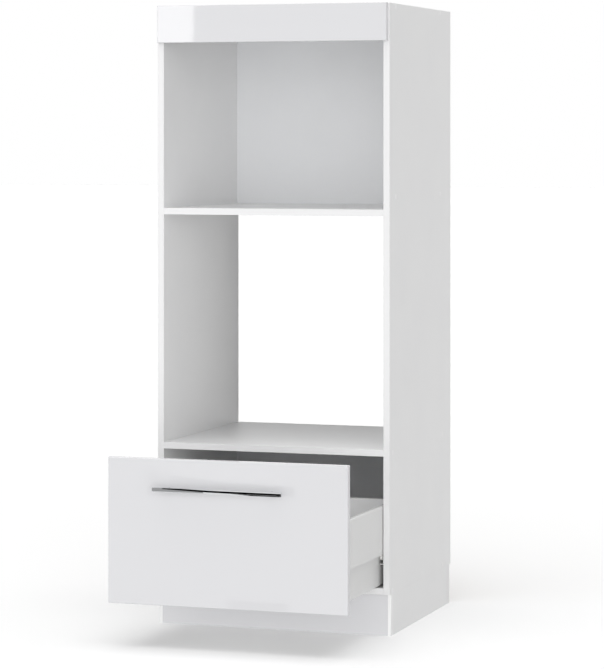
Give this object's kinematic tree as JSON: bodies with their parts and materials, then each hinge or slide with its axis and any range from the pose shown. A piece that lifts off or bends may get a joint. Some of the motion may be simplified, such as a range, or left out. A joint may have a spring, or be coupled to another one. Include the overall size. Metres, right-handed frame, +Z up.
{
  "type": "tall kitchen cabinet",
  "caption": "Tall free-standing white kitchen cabinet with an open microwave niche above an open-backed oven niche and a deep drawer on roller runners below.",
  "frame": {"origin": "on the floor, under the middle of the plinth's front board", "axes": "+X to the cabinet's right seen from the front, +Y from the front towards the wall, +Z up"},
  "size_m": [0.6018, 0.9, 1.53],
  "materials": {
    "white_melamine": "white melamine-faced chipboard, satin",
    "gloss_front": "white high gloss on fibreboard",
    "white_hardboard": "white-faced hardboard",
    "coated_steel": "warm white coated steel sheet",
    "zinc_steel": "zinc-plated",
    "white_plastic": "white moulded plastic",
    "black_plastic": "black moulded plastic",
    "nylon": "white nylon",
    "dowel_wood": "plain beech",
    "soft_pad": "soft translucent",
    "chrome": "polished chrome"
  },
  "bodies": {
    "root": {"side_panel_left": "white_melamine", "side_panel_right": "white_melamine", "top_panel": "white_melamine", "microwave_shelf": "white_melamine", "oven_shelf": "white_melamine", "bottom_panel": "white_melamine", "back_panel_upper": "white_hardboard", "back_panel_lower": "white_hardboard", "back_panel_screws": "zinc_steel", "fascia": "gloss_front", "fascia_brackets": "zinc_steel", "wall_brackets": "zinc_steel", "bracket_screws": "zinc_steel", "plinth_front": "gloss_front", "plinth_side_left": "white_melamine", "plinth_side_right": "white_melamine", "plinth_corner_strips": "white_plastic", "plinth_clips": "black_plastic", "leg_sockets": "black_plastic", "leg_feet": "black_plastic", "confirmat_screws": "zinc_steel", "cover_caps_left": "white_plastic", "cover_caps_right": "white_plastic", "shelf_cams": "zinc_steel", "shelf_bolts": "zinc_steel", "shelf_dowels": "dowel_wood", "cabinet_runner_left": "coated_steel", "cabinet_runner_right": "coated_steel", "runner_screws": "zinc_steel", "front_axles": "zinc_steel"},
    "drawer": {"drawer_front": "gloss_front", "drawer_bottom": "white_melamine", "drawer_back": "white_melamine", "drawer_side_left": "coated_steel", "drawer_side_right": "coated_steel", "side_extension_left": "coated_steel", "side_extension_right": "coated_steel", "extension_plugs": "white_plastic", "front_brackets": "zinc_steel", "drawer_screws": "zinc_steel", "bumper_pads": "soft_pad", "handle_bar": "chrome", "handle_posts": "chrome", "handle_screws": "zinc_steel", "rear_axles": "zinc_steel"},
    "front_roller_left": {"front_roller_left": "nylon"},
    "front_roller_right": {"front_roller_right": "nylon"},
    "rear_roller_left": {"rear_roller_left": "nylon"},
    "rear_roller_right": {"rear_roller_right": "nylon"}
  },
  "joints": [
    {"name": "drawer_slide", "type": "slide", "parent": "root", "child": "drawer", "axis": [0, -1, 0], "range_m": [-0.308, 0.04]},
    {"name": "front_roller_left_spin", "type": "hinge", "parent": "root", "child": "front_roller_left", "pos_m": [-0.27675, -0.006, 0.1923], "axis": [1, 0, 0], "continuous": true},
    {"name": "front_roller_right_spin", "type": "hinge", "parent": "root", "child": "front_roller_right", "pos_m": [0.27675, -0.006, 0.1923], "axis": [1, 0, 0], "continuous": true},
    {"name": "rear_roller_left_spin", "type": "hinge", "parent": "drawer", "child": "rear_roller_left", "pos_m": [-0.27675, 0.09, 0.1851], "axis": [1, 0, 0], "continuous": true},
    {"name": "rear_roller_right_spin", "type": "hinge", "parent": "drawer", "child": "rear_roller_right", "pos_m": [0.27675, 0.09, 0.1851], "axis": [1, 0, 0], "continuous": true}
  ],
  "couplings": [
    {"joint": "front_roller_left_spin", "follows": "drawer_slide", "rad_per_m": 98.039},
    {"joint": "front_roller_right_spin", "follows": "drawer_slide", "rad_per_m": 98.039},
    {"joint": "rear_roller_left_spin", "follows": "drawer_slide", "rad_per_m": 98.039},
    {"joint": "rear_roller_right_spin", "follows": "drawer_slide", "rad_per_m": 98.039}
  ]
}
